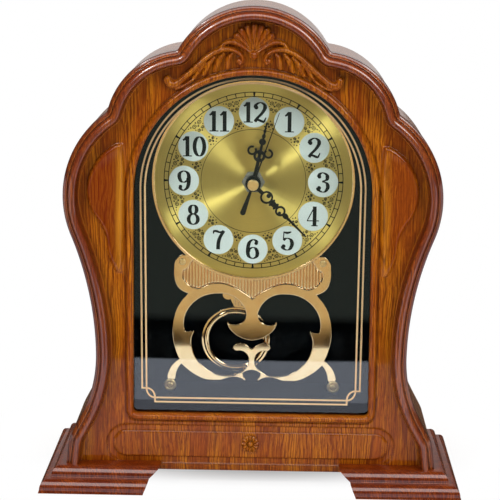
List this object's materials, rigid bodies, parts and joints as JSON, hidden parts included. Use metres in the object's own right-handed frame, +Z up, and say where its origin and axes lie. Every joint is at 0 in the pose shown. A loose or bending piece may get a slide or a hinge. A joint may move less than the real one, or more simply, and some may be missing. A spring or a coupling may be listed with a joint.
{
  "type": "desk pendulum clock",
  "caption": "Arched wood-grain desk clock on two moulded feet, with a glazed front, gold dial with disc numerals, black hands and a pendulum behind a gilt fret.",
  "frame": {"origin": "centre of the clock on the surface it stands on", "axes": "+X to the viewer's right, -Y out of the dial towards the viewer, +Z up"},
  "size_m": [0.27, 0.1, 0.3095],
  "materials": {
    "wood_grain": "lacquered, printed wood grain",
    "cover_brown": "moulded, fine texture",
    "clear_glass": "polished, printed gold lines",
    "black_gloss": "polished black",
    "gilt": "polished rose-gold plating",
    "dial_gold": "spun, gold anodised",
    "disc_silver": "satin, pale silver",
    "clear_plastic": "clear moulded",
    "hand_black": "black enamel",
    "cap_brass": "turned, polished",
    "movement_black": "moulded black",
    "gear_white": "moulded natural",
    "knob_grey": "moulded, fluted",
    "coil_copper": "enamelled copper wire",
    "steel": "plain steel",
    "board_green": "solder mask",
    "battery_wrap": "plain wrapper",
    "pad_felt": "soft black pad"
  },
  "bodies": {
    "case": {"front_frame": "wood_grain", "case_shell": "wood_grain", "left_foot": "wood_grain", "right_foot": "wood_grain", "rear_cover": "cover_brown", "rear_cover_screws": "steel", "foot_screws": "steel", "tray_screws": "steel", "foot_pads": "pad_felt", "window_glass": "clear_glass", "inner_tray": "black_gloss", "fret_plate": "gilt", "fret_posts": "gilt", "fret_screws": "gilt", "dial_bezel": "gilt", "dial_plate": "dial_gold", "numeral_discs": "disc_silver", "centre_nut": "clear_plastic", "movement_case": "movement_black", "movement_cover": "movement_black", "train_bridge": "gear_white", "motor_coil": "coil_copper", "stator": "steel", "circuit_board": "board_green", "pendulum_coil": "coil_copper", "battery": "battery_wrap", "battery_contacts": "steel", "pendulum_pin": "steel"},
    "seconds": {"second_hand": "hand_black", "hand_cap": "cap_brass", "second_wheel": "gear_white"},
    "minutes": {"minute_hand": "hand_black", "cannon_pinion": "cap_brass"},
    "hours": {"hour_hand": "hand_black", "hour_wheel": "gear_white"},
    "motion": {"motion_wheel": "gear_white"},
    "setting": {"setting_knob": "knob_grey"},
    "third": {"third_wheel": "gear_white"},
    "minute_drive": {"minute_wheel": "gear_white"},
    "intermediate": {"intermediate_wheel": "gear_white"},
    "rotor": {"motor_rotor": "gear_white"},
    "pendulum": {"pendulum_hanger": "movement_black", "pendulum_rod": "steel", "pendulum_crest": "gilt", "pendulum_bob": "gilt"}
  },
  "joints": [
    {"name": "minute_turn", "type": "hinge", "parent": "case", "child": "minutes", "pos_m": [0, -0.007, 0.198], "axis": [0, 1, 0], "continuous": true},
    {"name": "hour_turn", "type": "hinge", "parent": "case", "child": "hours", "pos_m": [0, -0.007, 0.198], "axis": [0, 1, 0], "continuous": true},
    {"name": "motion_turn", "type": "hinge", "parent": "case", "child": "motion", "pos_m": [-0.01039, -0.002, 0.204], "axis": [0, 1, 0], "continuous": true},
    {"name": "setting_turn", "type": "hinge", "parent": "case", "child": "setting", "pos_m": [-0.02078, 0.017, 0.21], "axis": [0, 1, 0], "continuous": true},
    {"name": "second_turn", "type": "hinge", "parent": "case", "child": "seconds", "pos_m": [0, -0.007, 0.198], "axis": [0, 1, 0], "continuous": true},
    {"name": "third_turn", "type": "hinge", "parent": "case", "child": "third", "pos_m": [0.01212, 0.001, 0.205], "axis": [0, 1, 0], "continuous": true},
    {"name": "minute_drive_turn", "type": "hinge", "parent": "case", "child": "minute_drive", "pos_m": [0, -0.0003, 0.198], "axis": [0, 1, 0], "continuous": true},
    {"name": "intermediate_turn", "type": "hinge", "parent": "case", "child": "intermediate", "pos_m": [0, 0.004, 0.209], "axis": [0, 1, 0], "continuous": true},
    {"name": "rotor_turn", "type": "hinge", "parent": "case", "child": "rotor", "pos_m": [0.00651, 0.005, 0.21446], "axis": [0, 1, 0], "continuous": true},
    {"name": "pendulum_swing", "type": "hinge", "parent": "case", "child": "pendulum", "pos_m": [0, 0.005, 0.165], "axis": [0, 1, 0], "range_deg": [-17.2, 0.8]}
  ],
  "couplings": [
    {"joint": "hour_turn", "follows": "minute_turn", "ratio": 0.083333},
    {"joint": "motion_turn", "follows": "minute_turn", "ratio": -0.33333},
    {"joint": "setting_turn", "follows": "minute_turn", "ratio": 1},
    {"joint": "third_turn", "follows": "second_turn", "ratio": -0.13333},
    {"joint": "minute_drive_turn", "follows": "second_turn", "ratio": 0.016667},
    {"joint": "intermediate_turn", "follows": "second_turn", "ratio": -5},
    {"joint": "rotor_turn", "follows": "second_turn", "ratio": 30}
  ]
}
